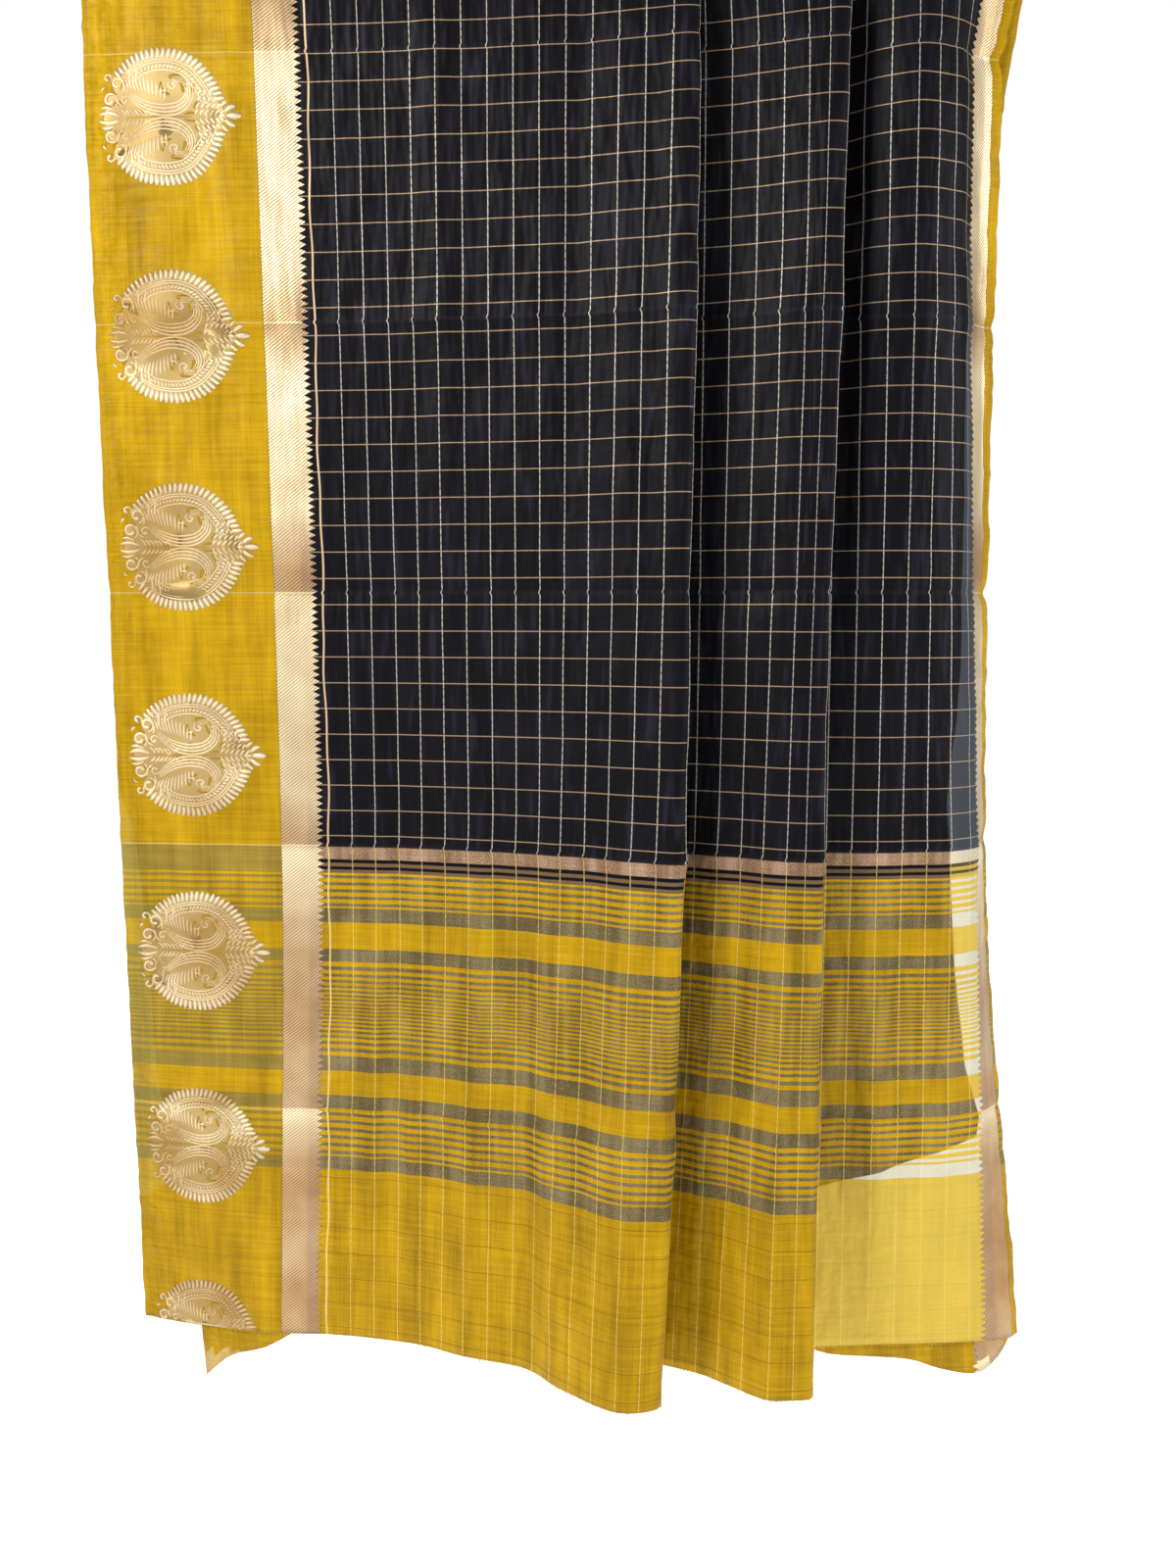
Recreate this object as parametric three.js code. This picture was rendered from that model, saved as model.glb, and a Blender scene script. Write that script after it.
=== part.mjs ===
import * as THREE from 'three';

// A saree hung over a round rod, in millimetres. The rod's centre is the origin, its axis is X,
// +Z is up and the front faces -Y. The cloth is folded in half across its length and hung over
// the rod, so an outer and an inner layer fall on each side.

const CLOTH = {
  wall: 1,
  seam: 0.3,
  frontFall: 1375,
  backFall: 1294,
  palluLength: 487,
  backOpening: 0.6,
};

const ROD = { radius: 15, length: 1000, sides: 48, endChamfer: 2 };

// The strips across the cloth's width, measured from the left selvedge.
const STRIPS = [
  { name: 'wide_border', from: 0, to: 148, colour: 0xb8860b },
  { name: 'wide_zari', from: 148, to: 184, colour: 0xcaa66a },
  { name: 'field', from: 184, to: 1125, colour: 0x23222c },
  { name: 'narrow_zari', from: 1125, to: 1157, colour: 0xcaa66a },
  { name: 'narrow_border', from: 1157, to: 1171, colour: 0xb8860b },
];

const PALLU_COLOUR = 0xc49112;
const WOOD_COLOUR = 0x8a5a34;

// Heights of the four sections, and one row for each named line across the cloth. In a row, u is
// the place across the cloth, then x and n follow for the section at the rod, at the top of the
// fall, in the middle and at the hem. n is the distance out from the rod's middle plane.
const HEIGHTS = [0, -190, -840, -1375];

const LINES = [
  ['left selvedge', 0, -404, 17.9, -408, 25, -408.5, 24, -409, 20],
  ['border middle', 74, -332, 17.9, -333, 29, -333, 31, -339, 40],
  ['border edge', 148, -260, 17.9, -255, 31, -251, 36, -263, 53],
  ['field start', 184, -225, 17.9, -219, 32, -216, 38, -228.5, 54],
  ['first slope', 280, -131, 17.9, -127, 38, -126, 48, -134, 70],
  ['soft fold foot', 340, -72, 18.1, -70, 43, -70, 60, -79, 92],
  ['soft fold', 400, -13, 21.5, -13, 50, -14, 74, -21.5, 111],
  ['second slope', 455, 41, 25, 40, 57, 34, 90, 18.5, 148],
  ['first crest', 520, 105, 25.1, 102, 71, 92, 116, 75, 181],
  ['first ridge in', 548, 133, 25.1, 129, 76, 117, 125, 100, 175],
  ['first ridge edge', 556, 137.5, 22.45, 136, 73, 124.5, 121, 106, 167],
  ['first ridge out', 564, 133, 19.8, 133, 66, 121, 113, 104, 159],
  ['first valley in', 622, 76, 19.8, 82, 34, 78, 74, 70, 97],
  ['first valley', 628, 71, 18.85, 77.5, 31, 74, 70.5, 66, 92],
  ['first valley out', 634, 76, 17.9, 82, 29, 78, 68, 70.5, 90],
  ['second panel foot', 690, 131, 17.9, 135, 36, 131, 74, 112, 107],
  ['second panel', 726, 162, 19.9, 169, 44, 162, 86, 143, 120],
  ['second panel rise', 760, 193, 23.9, 200, 54, 190, 98, 170, 139],
  ['second crest', 800, 230, 25.1, 234, 66, 222, 112, 207, 162],
  ['second ridge in', 837, 265, 25.1, 259, 71, 245, 116, 240, 160],
  ['second ridge edge', 845, 269.5, 22.45, 265, 67.5, 250.5, 112, 245, 153.5],
  ['second ridge out', 853, 265, 19.8, 261, 61, 247, 105, 242.5, 146],
  ['second valley in', 899, 220, 19.8, 224, 31, 212, 74, 224, 100],
  ['second valley', 905, 215.5, 18.85, 219.5, 28, 208, 71, 221, 95],
  ['second valley out', 911, 220, 17.9, 224, 26, 212, 68.5, 225, 91],
  ['third panel foot', 965, 270, 17.9, 268, 23, 262, 70, 262, 76],
  ['third panel', 1000, 301, 17.9, 295, 42, 296, 72, 300, 73],
  ['third panel middle', 1040, 336, 17.9, 331, 56, 335, 70, 343, 71],
  ['roll start', 1080, 370, 17.9, 360, 47, 373, 62, 385, 69],
  ['roll', 1110, 395, 17.9, 376, 34, 399, 48, 416, 67],
  ['field end', 1125, 408, 17.9, 383, 26, 408, 36, 430, 66],
  ['zari middle', 1148, 427, 17.9, 396, 18, 416, 19, 452, 61],
  ['right selvedge', 1171, 446, 17.9, 412, 14, 424, 8, 465, 52],
];

// The inner layer hangs this far behind the outer one at each of the heights. In front, its left
// selvedge, field start and right selvedge are moved this far along the section.
const INNER = {
  gap: [1.6, 4.6, 5, 6],
  leftMove: [0, 8, 22, 66],
  fieldMove: [0, 8, 19, 90],
  rightMove: [0, -34, -45, -6],
  fieldMoveEnd: 450,
  rightMoveStart: 965,
};

// How far the inner front end falls at places across the cloth: it is drawn up behind the pleats.
const INNER_END = [
  ['left corner', 0, 1432],
  ['border rise', 26, 1406],
  ['border', 53, 1396],
  ['border crossing', 81, 1378],
  ['behind the first panel', 130, 1350],
  ['behind the pleats', 900, 1350],
  ['third panel start', 950, 1372],
  ['third panel', 975, 1386],
  ['third panel middle', 1055, 1395],
  ['third panel drop', 1085, 1406],
  ['right drop', 1120, 1413],
  ['right corner', 1171, 1378],
];

const U = LINES.map((row) => row[1]);

// Slopes of a monotone cubic through the points, so that no curve passes its own extremes.
function monotoneSlopes(at, value) {
  const step = [];
  const rise = [];
  for (let i = 0; i + 1 < at.length; i += 1) {
    step.push(at[i + 1] - at[i]);
    rise.push((value[i + 1] - value[i]) / step[i]);
  }
  const slopes = [rise[0]];
  for (let i = 1; i + 1 < at.length; i += 1) {
    if (rise[i - 1] * rise[i] <= 0) {
      slopes.push(0);
    } else {
      const a = 2 * step[i] + step[i - 1];
      const b = step[i] + 2 * step[i - 1];
      slopes.push((a + b) / (a / rise[i - 1] + b / rise[i]));
    }
  }
  slopes.push(rise[rise.length - 1]);
  return slopes;
}

function curveValue(at, value, slopes, where) {
  let i = 0;
  while (i + 2 < at.length && at[i + 1] < where) {
    i += 1;
  }
  const h = at[i + 1] - at[i];
  const t = Math.min(1, Math.max(0, (where - at[i]) / h));
  const s = t * t * (3 - 2 * t);
  const lead = t * (1 - t) * (1 - t) * h;
  const tail = t * t * (t - 1) * h;
  return value[i] + (value[i + 1] - value[i]) * s + slopes[i] * lead + slopes[i + 1] * tail;
}

// Falls run down from the rod, so they are read as depths. The cloth leaves the rod upright.
const DEPTHS = HEIGHTS.map((height) => -height);

function byDepth(values, depth) {
  const slopes = monotoneSlopes(DEPTHS, values);
  slopes[0] = 0;
  return curveValue(DEPTHS, values, slopes, depth);
}

// The section of the cloth at one depth, moved by an offset along its own normals.
function section(depth, offset) {
  const x = LINES.map((row) => byDepth([row[2], row[4], row[6], row[8]], depth));
  const n = LINES.map((row) => byDepth([row[3], row[5], row[7], row[9]], depth));
  const xSlopes = monotoneSlopes(U, x);
  const nSlopes = monotoneSlopes(U, n);
  const xMoved = x.map((value, i) => value - (offset * nSlopes[i]) / Math.hypot(xSlopes[i], nSlopes[i]));
  const nMoved = n.map((value, i) => value + (offset * xSlopes[i]) / Math.hypot(xSlopes[i], nSlopes[i]));
  return { x: xMoved, n: nMoved, xSlopes: monotoneSlopes(U, xMoved), nSlopes: monotoneSlopes(U, nMoved) };
}

// A station is one line across the cloth: a side, a depth below the rod or an angle over it, how
// far behind the outer layer it lies, and the way its thickness runs.
function fallStation(side, depth, gap) {
  return { side, depth, angle: 0, gap, across: 1, down: 0 };
}

function rodStation(side, angle, gap) {
  return { side, depth: 0, angle, gap, across: 1, down: 0 };
}

function turnStation(side, depth, gap, degrees) {
  const turn = THREE.MathUtils.degToRad(degrees);
  const radius = gap / 2;
  return {
    side,
    depth: depth - radius + radius * Math.sin(turn),
    angle: 0,
    gap: radius - radius * Math.cos(turn),
    across: -Math.cos(turn),
    down: -Math.sin(turn),
  };
}

function lineAcross(station, places, half) {
  const opening = station.side === 'back' ? CLOTH.backOpening : 1;
  const depth = station.depth + half * station.down;
  const shape = section(depth * opening, half * station.across - station.gap);
  return places.map((place) => {
    const x = curveValue(U, shape.x, shape.xSlopes, place);
    const n = curveValue(U, shape.n, shape.nSlopes, place);
    const turn = THREE.MathUtils.degToRad(station.angle);
    const sign = station.side === 'back' ? 1 : -1;
    return [x, sign * n * Math.cos(turn), n * Math.sin(turn) - depth];
  });
}

// The inner front end, where each place has a depth of its own.
function endAcross(station, places, half) {
  const at = INNER_END.map((row) => row[1]);
  const fall = INNER_END.map((row) => row[2]);
  const slopes = monotoneSlopes(at, fall);
  return places.map((u) => {
    const depth = curveValue(at, fall, slopes, u);
    return lineAcross({ ...station, depth }, innerPlaces([u], depth), half)[0];
  });
}

// The inner layer's places along the section for the cloth's own places.
function innerPlaces(places, depth) {
  const left = byDepth(INNER.leftMove, depth);
  const field = byDepth(INNER.fieldMove, depth);
  const right = byDepth(INNER.rightMove, depth);
  const start = STRIPS[2].from;
  return places.map((u) => {
    if (u <= start) {
      return u + left + ((field - left) * u) / start;
    }
    if (u < INNER.fieldMoveEnd) {
      return u + (field * (INNER.fieldMoveEnd - u)) / (INNER.fieldMoveEnd - start);
    }
    if (u > INNER.rightMoveStart) {
      return u + (right * (u - INNER.rightMoveStart)) / (CLOTH_WIDTH - INNER.rightMoveStart);
    }
    return u;
  });
}

const CLOTH_WIDTH = U[U.length - 1];

// Places across a strip: every named line in it, with long steps split, more so on the third panel.
function placesAcross(strip) {
  const half = CLOTH.seam / 2;
  const from = strip.from === 0 ? 0 : strip.from + half;
  const to = strip.to === CLOTH_WIDTH ? strip.to : strip.to - half;
  const marks = [from, ...U.filter((u) => u > from + 1 && u < to - 1), to];
  const places = [];
  for (let i = 0; i + 1 < marks.length; i += 1) {
    const widest = marks[i] < INNER.rightMoveStart ? 48 : 24;
    const parts = Math.max(1, Math.round((marks[i + 1] - marks[i]) / widest));
    for (let k = 0; k < parts; k += 1) {
      places.push(marks[i] + ((marks[i + 1] - marks[i]) * k) / parts);
    }
  }
  places.push(to);
  return places;
}

// A closed sheet of the cloth's wall between two skins.
function sheet(name, colour, stations, places, inner) {
  const across = places.length;
  const along = stations.length;
  const points = [];
  for (const half of [CLOTH.wall / 2, -CLOTH.wall / 2]) {
    for (const station of stations) {
      const fall = station.side === 'front' ? station.depth : 0;
      const row = inner ? innerPlaces(places, fall) : places;
      points.push(...(station.end ? endAcross(station, places, half) : lineAcross(station, row, half)));
    }
  }
  const skin = along * across;
  const faces = [];
  const quad = (a, b, c, d) => faces.push(a, b, c, a, c, d);
  for (let j = 0; j + 1 < along; j += 1) {
    for (let i = 0; i + 1 < across; i += 1) {
      const a = j * across + i;
      quad(a, a + 1, a + across + 1, a + across);
      quad(skin + a, skin + a + across, skin + a + across + 1, skin + a + 1);
    }
    const left = j * across;
    const right = j * across + across - 1;
    quad(left, left + across, skin + left + across, skin + left);
    quad(right + across, right, skin + right, skin + right + across);
  }
  for (let i = 0; i + 1 < across; i += 1) {
    const last = (along - 1) * across + i;
    quad(i + 1, i, skin + i, skin + i + 1);
    quad(last, last + 1, skin + last + 1, skin + last);
  }
  const geometry = new THREE.BufferGeometry();
  geometry.setAttribute('position', new THREE.Float32BufferAttribute(points.flat(), 3));
  geometry.setIndex(faces);
  geometry.computeVertexNormals();
  const material = new THREE.MeshStandardMaterial({ color: colour, roughness: 0.7, side: THREE.FrontSide });
  const mesh = new THREE.Mesh(geometry, material);
  mesh.name = name;
  return mesh;
}

// Depths of the stations down the front and down the back, and the angles over the rod.
const palluTop = CLOTH.frontFall - CLOTH.palluLength;
const PALLU_DEPTHS = [CLOTH.frontFall, 1220, 1050, palluTop + CLOTH.seam];
const FRONT_DEPTHS = [palluTop, 730, 560, 390, 270, 190, 130, 80, 35, CLOTH.seam];
const BACK_DEPTHS = [CLOTH.seam, 60, 130, 215, 320, 500, 750, 1020];
const ROD_ANGLES = [0, 22.5, 45, 67.5, 90];

// The front and back stretches end at the height of the rod's middle, and a stretch of their own
// carries the cloth over it.
function frontStretch(depths, inner) {
  const gap = (depth) => (inner ? byDepth(INNER.gap, depth) : 0);
  return depths.map((depth) => fallStation('front', depth, gap(depth)));
}

function overStretch(inner) {
  const gap = inner ? INNER.gap[0] : 0;
  const up = ROD_ANGLES.map((angle) => rodStation('front', angle, gap));
  const down = ROD_ANGLES.slice(0, -1).reverse().map((angle) => rodStation('back', angle, gap));
  return [...up, ...down];
}

function backStretch(inner) {
  const gap = (depth) => (inner ? byDepth(INNER.gap, depth * CLOTH.backOpening) : 0);
  const falls = BACK_DEPTHS.map((depth) => fallStation('back', depth, gap(depth)));
  const foldGap = byDepth(INNER.gap, CLOTH.backFall * CLOTH.backOpening);
  if (!inner) {
    return [...falls, fallStation('back', CLOTH.backFall - foldGap / 2 - CLOTH.seam, 0)];
  }
  const fold = [180, 135, 90, 45, 0].map((degrees) => turnStation('back', CLOTH.backFall, foldGap, degrees));
  return [...falls, ...fold];
}

const saree = new THREE.Group();
saree.name = 'saree';

for (const strip of STRIPS) {
  const places = placesAcross(strip);
  const isField = strip.name === 'field';
  const frontDepths = isField ? FRONT_DEPTHS : [...PALLU_DEPTHS.slice(0, -1), ...FRONT_DEPTHS];
  saree.add(sheet(`front_${strip.name}`, strip.colour, frontStretch(frontDepths, false), places, false));
  saree.add(sheet(`over_${strip.name}`, strip.colour, overStretch(false), places, false));
  saree.add(sheet(`back_${strip.name}`, strip.colour, backStretch(false), places, false));
  const innerDepths = [CLOTH.frontFall, ...PALLU_DEPTHS.slice(1, -1), ...FRONT_DEPTHS];
  const innerFront = frontStretch(innerDepths, true);
  innerFront[0].end = true;
  saree.add(sheet(`inner_front_${strip.name}`, strip.colour, innerFront, places, true));
  saree.add(sheet(`inner_back_${strip.name}`, strip.colour, backStretch(true), places, true));
}

// Under the outer layer, the inner one passes over the rod as one stretch across its width.
const wholeWidth = { name: 'whole', from: 0, to: CLOTH_WIDTH };
saree.add(sheet('inner_over', STRIPS[2].colour, overStretch(true), placesAcross(wholeWidth), true));

const palluStations = PALLU_DEPTHS.map((depth) => fallStation('front', depth, 0));
saree.add(sheet('pallu', PALLU_COLOUR, palluStations, placesAcross(STRIPS[2]), false));

// The rod: a turned dowel with a small chamfer at each flat end.
const halfRod = ROD.length / 2;
const rodProfile = [
  new THREE.Vector2(0, -halfRod),
  new THREE.Vector2(ROD.radius - ROD.endChamfer, -halfRod),
  new THREE.Vector2(ROD.radius, -halfRod + ROD.endChamfer),
  new THREE.Vector2(ROD.radius, halfRod - ROD.endChamfer),
  new THREE.Vector2(ROD.radius - ROD.endChamfer, halfRod),
  new THREE.Vector2(0, halfRod),
];
const rodShape = new THREE.LatheGeometry(rodProfile, ROD.sides);
rodShape.rotateZ(-Math.PI / 2);
const rodMesh = new THREE.Mesh(rodShape, new THREE.MeshStandardMaterial({ color: WOOD_COLOUR, roughness: 0.5 }));
rodMesh.name = 'rod';
saree.add(rodMesh);

export default saree;
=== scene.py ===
"""A checked saree hung over a wooden rod: cloth, woven medallions, rod, light and camera."""

import math

import bpy
import numpy as np
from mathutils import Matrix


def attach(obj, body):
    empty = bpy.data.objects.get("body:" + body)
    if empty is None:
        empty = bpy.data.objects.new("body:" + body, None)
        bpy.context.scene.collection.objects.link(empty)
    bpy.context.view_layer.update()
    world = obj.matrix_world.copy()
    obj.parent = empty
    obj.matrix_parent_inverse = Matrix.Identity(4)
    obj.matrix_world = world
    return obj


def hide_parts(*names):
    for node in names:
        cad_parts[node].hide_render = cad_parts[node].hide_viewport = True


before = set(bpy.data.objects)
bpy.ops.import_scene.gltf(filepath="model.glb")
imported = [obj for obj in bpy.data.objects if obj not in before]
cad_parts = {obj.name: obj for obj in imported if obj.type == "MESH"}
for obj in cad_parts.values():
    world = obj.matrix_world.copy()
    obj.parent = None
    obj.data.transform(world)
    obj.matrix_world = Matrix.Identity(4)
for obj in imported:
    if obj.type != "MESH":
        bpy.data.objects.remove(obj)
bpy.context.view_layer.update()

# Sizes in millimetres, as in the solids. BOTH_LAYERS is what the places along the cloth of two
# layers that lie together add up to.
ROD_RADIUS = 15.0
ROD_LENGTH = 1000.0
FRONT_FALL = 1375.0
BACK_FALL = 1294.0
BACK_OPENING = 0.6
PALLU = 487.0
WIDTH = 1171.0
WIDE_BORDER = 148.0
WIDE_ZARI = 183.0
NARROW_ZARI = 1126.0
NARROW_BORDER = 1157.0
LENGTH = 5508.0
BOTH_LAYERS = 5451.0
CHECK = 24.05
WARP_STEP = 24.0
FIRST_LINE = 195.0
HALF_WALL = 0.4
OVER_ROD = math.pi * 18.0

# Metallic stripes and bands of the pallu: low and high edge above the hem.
WIDE_STRIPES = [(170.0, 183.0), (231.0, 244.0), (268.0, 283.0), (375.5, 388.0), (414.0, 427.5)]
GRADED_STRIPES = (283.5, 375.0)
DARK_LINES = [(465.0, 468.0), (471.4, 475.0)]
BROWN_BAND = (461.8, 475.0)
COPPER_BAND = (475.0, 487.0)

# Medallions: their place across, and the heights of their centres above the hem.
MEDALLION_PLACE = 70.0
FRONT_MEDALLIONS = [-10, 188, 383, 573, 767, 955, 1143, 1334]
BACK_MEDALLIONS = [1525, 1716, 1907, 2098, 2289, 2480, 2671]

# The sections of the cloth at four depths below the rod. In a row, u is the place across the
# cloth, then x and n follow for each depth. n is the distance out from the rod's middle plane.
DEPTHS = np.array([0.0, 190.0, 840.0, 1375.0])

LINES = np.array([
    (0, -404, 17.9, -408, 25, -408.5, 24, -409, 20),
    (74, -332, 17.9, -333, 29, -333, 31, -339, 40),
    (148, -260, 17.9, -255, 31, -251, 36, -263, 53),
    (184, -225, 17.9, -219, 32, -216, 38, -228.5, 54),
    (280, -131, 17.9, -127, 38, -126, 48, -134, 70),
    (340, -72, 18.1, -70, 43, -70, 60, -79, 92),
    (400, -13, 21.5, -13, 50, -14, 74, -21.5, 111),
    (455, 41, 25, 40, 57, 34, 90, 18.5, 148),
    (520, 105, 25.1, 102, 71, 92, 116, 75, 181),
    (548, 133, 25.1, 129, 76, 117, 125, 100, 175),
    (556, 137.5, 22.45, 136, 73, 124.5, 121, 106, 167),
    (564, 133, 19.8, 133, 66, 121, 113, 104, 159),
    (622, 76, 19.8, 82, 34, 78, 74, 70, 97),
    (628, 71, 18.85, 77.5, 31, 74, 70.5, 66, 92),
    (634, 76, 17.9, 82, 29, 78, 68, 70.5, 90),
    (690, 131, 17.9, 135, 36, 131, 74, 112, 107),
    (726, 162, 19.9, 169, 44, 162, 86, 143, 120),
    (760, 193, 23.9, 200, 54, 190, 98, 170, 139),
    (800, 230, 25.1, 234, 66, 222, 112, 207, 162),
    (837, 265, 25.1, 259, 71, 245, 116, 240, 160),
    (845, 269.5, 22.45, 265, 67.5, 250.5, 112, 245, 153.5),
    (853, 265, 19.8, 261, 61, 247, 105, 242.5, 146),
    (899, 220, 19.8, 224, 31, 212, 74, 224, 100),
    (905, 215.5, 18.85, 219.5, 28, 208, 71, 221, 95),
    (911, 220, 17.9, 224, 26, 212, 68.5, 225, 91),
    (965, 270, 17.9, 268, 23, 262, 70, 262, 76),
    (1000, 301, 17.9, 295, 42, 296, 72, 300, 73),
    (1040, 336, 17.9, 331, 56, 335, 70, 343, 71),
    (1080, 370, 17.9, 360, 47, 373, 62, 385, 69),
    (1110, 395, 17.9, 376, 34, 399, 48, 416, 67),
    (1125, 408, 17.9, 383, 26, 408, 36, 430, 66),
    (1148, 427, 17.9, 396, 18, 416, 19, 452, 61),
    (1171, 446, 17.9, 412, 14, 424, 8, 465, 52),
], dtype=float)

INNER_GAP = np.array([1.6, 4.6, 5.0, 6.0])
LEFT_MOVE = np.array([0.0, 8.0, 22.0, 66.0])
FIELD_MOVE = np.array([0.0, 8.0, 19.0, 90.0])
RIGHT_MOVE = np.array([0.0, -34.0, -45.0, -6.0])

# How far the inner front end falls at places across the cloth.
INNER_END = np.array([
    (0, 1432), (26, 1406), (53, 1396), (81, 1378), (130, 1350), (900, 1350), (950, 1372),
    (975, 1386), (1055, 1395), (1085, 1406), (1120, 1413), (1171, 1378),
], dtype=float)

# Pressed lines across the cloth from its folding: height above the hem, and height of the ridge.
STORAGE_CREASES = [
    (229, 2.4), (488, 2.8), (725, -2.6), (966, 2.6), (1197, -2.2),
    (1690, 1.3), (1932, -1.5), (2174, 1.4), (2416, -1.3), (2620, 1.1),
]

# Soft ridges and troughs down the cloth: place across, half width, height, and where along the
# length each one starts and ends.
SOFT_FOLDS = [
    (20, 11, 1.3, 60, 520), (42, 15, -1.8, 300, 900), (66, 18, 1.6, 900, 1340),
    (104, 16, -1.5, 380, 1180), (130, 9, 1.3, 800, 1300), (212, 9, 1.8, 0, 240),
    (238, 13, 2.6, 0, 430), (262, 12, -2.2, 30, 820), (286, 9, 2.0, 0, 330),
    (318, 18, 2.6, 620, 1330), (350, 11, 2.4, 0, 520), (372, 9, -2.2, 200, 760),
    (398, 13, -2.8, 0, 500), (430, 15, 3.2, 0, 620), (446, 11, -2.2, 700, 1320),
    (468, 12, -2.4, 40, 560), (496, 16, 2.4, 260, 980), (520, 10, -1.8, 620, 1250),
    (556, 12, 2.0, 60, 760), (716, 12, 2.4, 0, 560), (742, 10, -2.0, 100, 700),
    (776, 14, 2.2, 240, 1040), (802, 9, 2.0, 0, 380), (836, 11, -1.8, 500, 1200),
    (980, 12, -2.0, 60, 500), (1012, 13, 2.4, 0, 420), (1046, 13, -2.4, 250, 900),
    (1074, 10, 1.8, 120, 600), (1096, 10, 1.6, 700, 1250), (60, 18, 1.8, 1500, 2500),
    (118, 14, -1.6, 1700, 2600), (250, 20, -2.4, 1600, 2700), (296, 13, 2.0, 1500, 2200),
    (330, 16, 2.6, 1800, 2700), (378, 13, -2.0, 2000, 2700), (420, 17, -2.4, 1550, 2400),
    (462, 12, 2.0, 2100, 2700), (500, 15, 2.2, 1900, 2700), (560, 13, -1.8, 1600, 2300),
    (740, 16, 2.2, 1600, 2600), (790, 13, -1.9, 1900, 2700), (980, 14, 1.8, 1600, 2400),
    (1030, 16, -2.2, 1700, 2700), (1086, 11, 1.7, 2000, 2600),
]


def slopes(at, value):
    """Slopes of a monotone cubic through the points, down the first axis of value."""
    step = np.diff(at)
    if value.ndim > 1:
        step = step[:, None]
    rise = np.diff(value, axis=0) / step
    a = 2 * step[1:] + step[:-1]
    b = step[1:] + 2 * step[:-1]
    same = rise[:-1] * rise[1:] > 0
    safe_low = np.where(same, rise[:-1], 1.0)
    safe_high = np.where(same, rise[1:], 1.0)
    inner = np.where(same, (a + b) / (a / safe_low + b / safe_high), 0.0)
    return np.concatenate([rise[:1], inner, rise[-1:]])


def curve(at, value, slope, where):
    """The curve's values at the places in where."""
    where = np.asarray(where, dtype=float)
    i = np.clip(np.searchsorted(at, where) - 1, 0, len(at) - 2)
    h = at[i + 1] - at[i]
    t = np.clip((where - at[i]) / h, 0, 1)
    if value.ndim > 1:
        h = h[..., None]
        t = t[..., None]
    s = t * t * (3 - 2 * t)
    lead = t * (1 - t) ** 2 * h
    tail = t * t * (t - 1) * h
    return value[i] + (value[i + 1] - value[i]) * s + slope[i] * lead + slope[i + 1] * tail


def by_depth(values, depth):
    """A row of numbers, one for each of DEPTHS, at a depth in between."""
    slope = slopes(DEPTHS, values)
    slope[0] = 0
    return curve(DEPTHS, values, slope, depth)


U_ROWS = LINES[:, 0]
X_TABLE = LINES[:, 1::2].T
N_TABLE = LINES[:, 2::2].T


def section(depth, offset):
    """The cloth's line across at a depth, moved outwards, with its slopes."""
    x = by_depth(X_TABLE, depth)
    n = by_depth(N_TABLE, depth)
    xs = slopes(U_ROWS, x)
    ns = slopes(U_ROWS, n)
    size = np.hypot(xs, ns)
    x = x - offset * ns / size
    n = n + offset * xs / size
    return x, n, slopes(U_ROWS, x), slopes(U_ROWS, n)


def line_across(station, places):
    """Points across the cloth at one station of a fall or of the way over the rod."""
    side, depth, angle, gap = station
    opening = BACK_OPENING if side > 0 else 1.0
    x, n, xs, ns = section(depth * opening, -gap)
    px = curve(U_ROWS, x, xs, places)
    pn = curve(U_ROWS, n, ns, places)
    return np.stack([px, side * pn * math.cos(angle), pn * math.sin(angle) - depth], axis=-1)


def inner_places(places, depth):
    """Where the inner front layer's own places lie on the outer layer's line."""
    left = by_depth(LEFT_MOVE, depth)
    field = by_depth(FIELD_MOVE, depth)
    right = by_depth(RIGHT_MOVE, depth)
    u = np.asarray(places, dtype=float)
    move = np.where(u <= 184, left + (field - left) * u / 184, field * np.clip((450 - u) / 266, 0, 1))
    move = move + right * np.clip((u - 965) / (WIDTH - 965), 0, 1)
    return u + move


def places_across():
    """Places across the cloth: close together on the tight folds and selvedges."""
    marks = [0, 3, 8]
    tight = [(540, 574), (616, 641), (829, 861), (893, 917)]
    u = 8.0
    while u < WIDTH - 8:
        step = 6.0
        for low, high in tight:
            if low - 2 <= u < high:
                step = 2.2
        if u > 1070:
            step = 4.5
        u += step
        if u < WIDTH - 8:
            marks.append(u)
    return np.array(marks + [WIDTH - 8, WIDTH - 3, WIDTH])


def bump(x, centre, half):
    return np.exp(-((x - centre) / half) ** 2)


def smooth(x):
    t = np.clip(x, 0, 1)
    return t * t * (3 - 2 * t)


def wave_noise(u, v, seed, size, octaves=3):
    """A smooth, fixed unevenness of the cloth made of a few slanted waves."""
    rng = np.random.RandomState(seed)
    total = np.zeros_like(u)
    for octave in range(octaves):
        for _ in range(5):
            turn = rng.uniform(0, math.pi)
            reach = size / (1.9 ** octave) * rng.uniform(0.75, 1.3)
            phase = rng.uniform(0, 2 * math.pi)
            wave = np.sin((u * math.cos(turn) + v * math.sin(turn)) * 2 * math.pi / reach + phase)
            total += wave / (1.7 ** octave) / 5
    return total


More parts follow.
